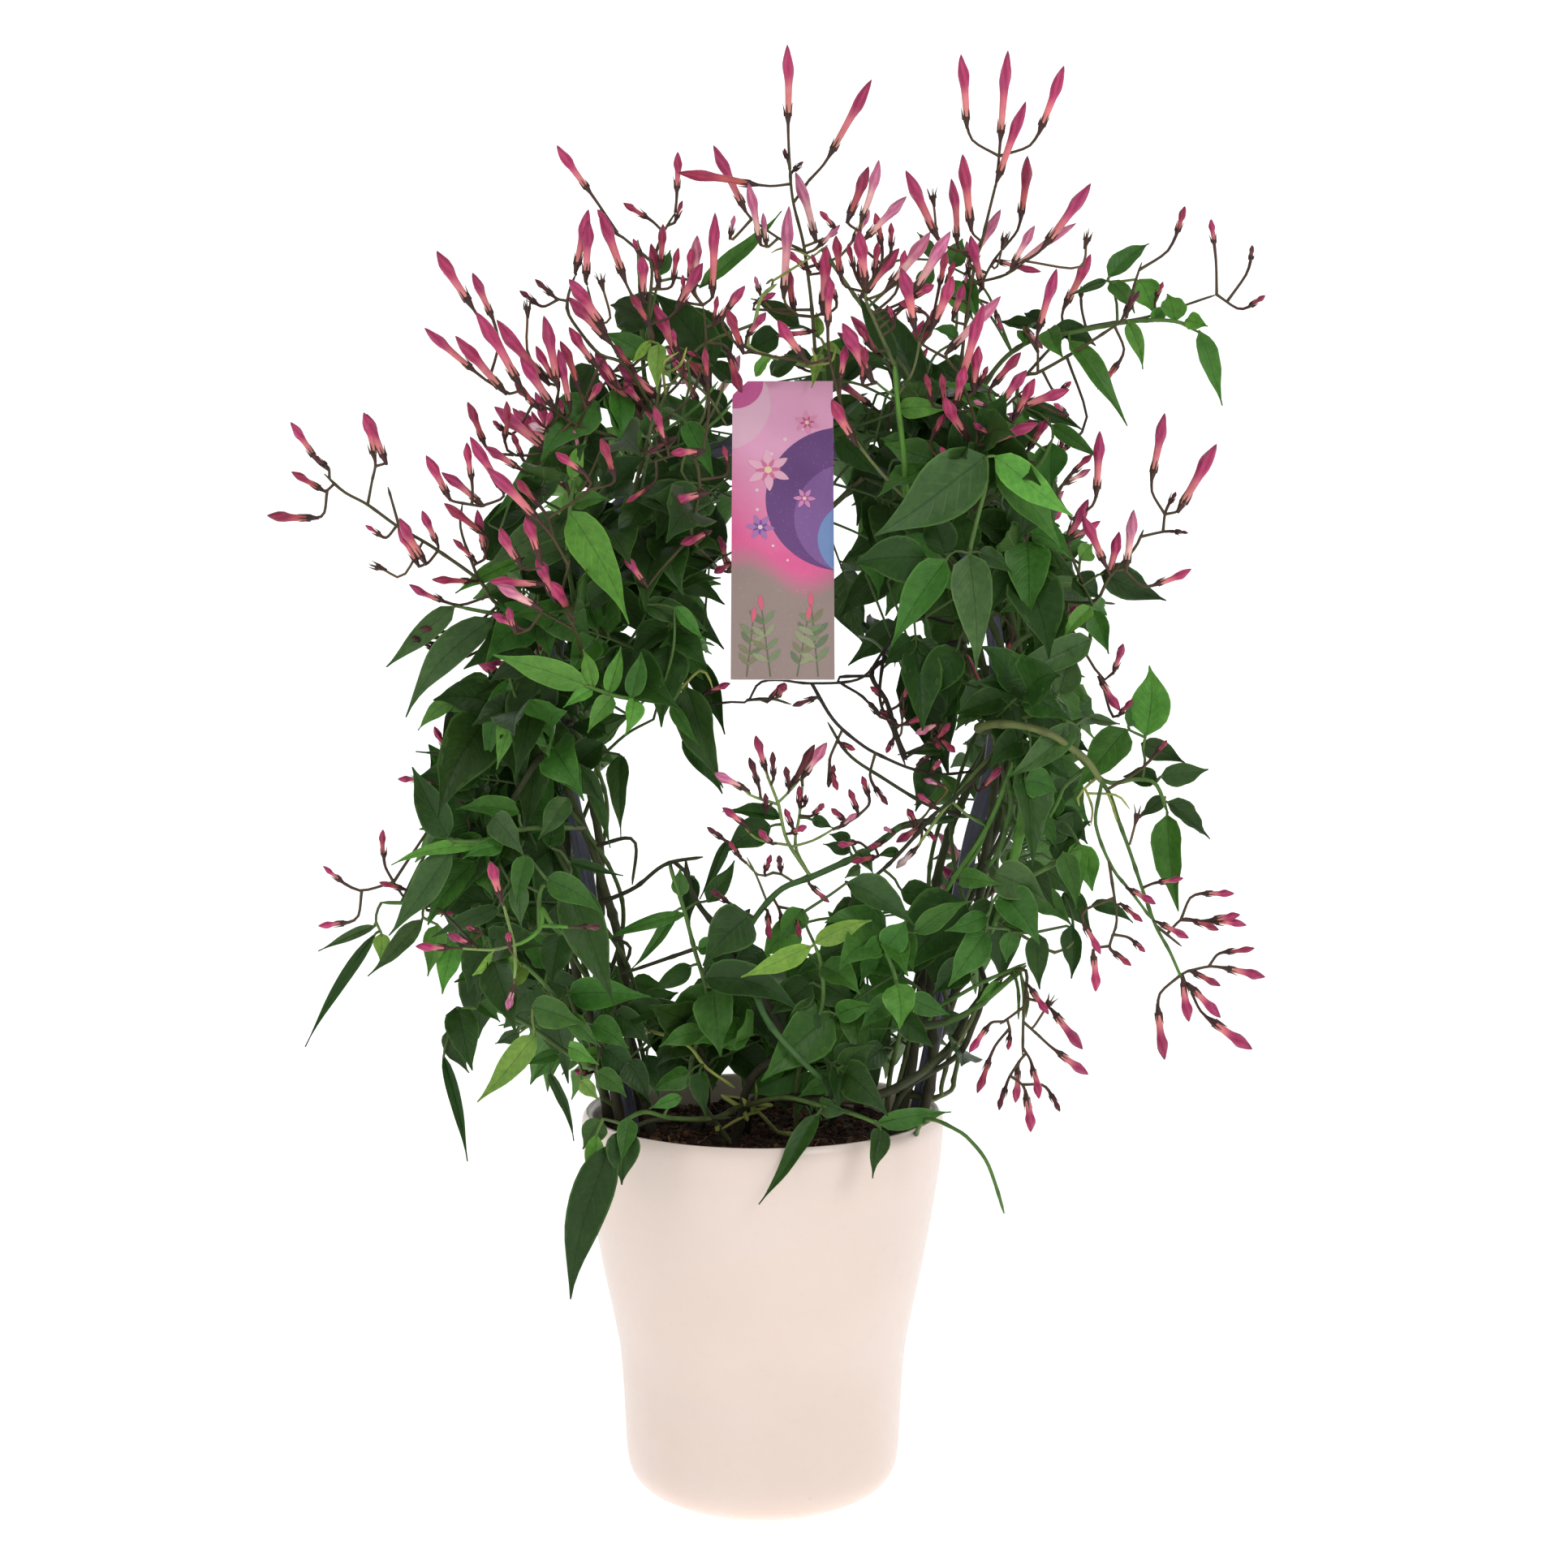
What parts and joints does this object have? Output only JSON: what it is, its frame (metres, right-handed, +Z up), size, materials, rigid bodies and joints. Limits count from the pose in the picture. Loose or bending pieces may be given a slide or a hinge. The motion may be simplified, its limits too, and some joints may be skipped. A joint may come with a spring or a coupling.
{
  "type": "potted pink jasmine plant",
  "caption": "Flowering pink jasmine climber wound round a tall plastic hoop in a tapered cream glazed cover pot, with a hanging plant label.",
  "frame": {"origin": "centre of the pot's flat base, where it rests", "axes": "+Z up, -Y towards the front that carries the label, +X to the right seen from the front"},
  "size_m": [0.3887, 0.1612, 0.5759],
  "materials": {
    "cream_glaze": "smooth satin glaze",
    "dark_soil": "loose fibrous",
    "slate_plastic": "satin moulded",
    "printed_card": "printed matt",
    "stem_wood": "matt bark",
    "leaf_green": "waxy satin",
    "petal_pink": "soft matt"
  },
  "bodies": {
    "root": {"cover_pot": "cream_glaze", "flower_cluster_arch": "petal_pink", "flower_cluster_base_right": "petal_pink", "flower_cluster_front_left": "petal_pink", "flower_cluster_front_top": "petal_pink", "flower_cluster_front_top_right": "petal_pink", "flower_cluster_left_arm": "petal_pink", "flower_cluster_left_crown": "petal_pink", "flower_cluster_left_inner": "petal_pink", "flower_cluster_left_low": "petal_pink", "flower_cluster_left_upper": "petal_pink", "flower_cluster_right_hanging": "petal_pink", "flower_cluster_right_side": "petal_pink", "flower_cluster_right_upper": "petal_pink", "flower_cluster_top_left_spire": "petal_pink", "flower_cluster_top_right_spire": "petal_pink", "flower_cluster_top_spire": "petal_pink", "flower_cluster_window": "petal_pink", "hoop_trellis": "slate_plastic", "leaf_shoot_back_left_low": "leaf_green", "leaf_shoot_back_left_mid": "leaf_green", "leaf_shoot_back_right_mid": "leaf_green", "leaf_shoot_back_top_left": "leaf_green", "leaf_shoot_back_top_right": "leaf_green", "leaf_shoot_base_left": "leaf_green", "leaf_shoot_base_left_low": "leaf_green", "leaf_shoot_inner_left": "leaf_green", "leaf_shoot_inner_mid": "leaf_green", "leaf_shoot_inner_right": "leaf_green", "leaf_shoot_left_compound": "leaf_green", "leaf_shoot_left_knee": "leaf_green", "leaf_shoot_left_low": "leaf_green", "leaf_shoot_left_mid": "leaf_green", "leaf_shoot_left_outer": "leaf_green", "leaf_shoot_left_shoulder": "leaf_green", "leaf_shoot_left_trail": "leaf_green", "leaf_shoot_right_far": "leaf_green", "leaf_shoot_right_knee": "leaf_green", "leaf_shoot_right_low": "leaf_green", "leaf_shoot_right_mid": "leaf_green", "leaf_shoot_right_outer": "leaf_green", "leaf_shoot_right_shoulder": "leaf_green", "leaf_shoot_right_spread": "leaf_green", "leaf_shoot_rim_front": "leaf_green", "leaf_shoot_rim_left": "leaf_green", "leaf_shoot_top_left": "leaf_green", "leaf_shoot_top_mid": "leaf_green", "leaf_shoot_top_right": "leaf_green", "plant_label": "printed_card", "potting_soil": "dark_soil", "vine_stem_crossing_1": "stem_wood", "vine_stem_crossing_2": "stem_wood", "vine_stem_left_1": "stem_wood", "vine_stem_left_2": "stem_wood", "vine_stem_left_3": "stem_wood", "vine_stem_left_4": "stem_wood", "vine_stem_right_1": "stem_wood", "vine_stem_right_2": "stem_wood", "vine_stem_right_3": "stem_wood", "vine_stem_right_4": "stem_wood"}
  },
  "joints": []
}
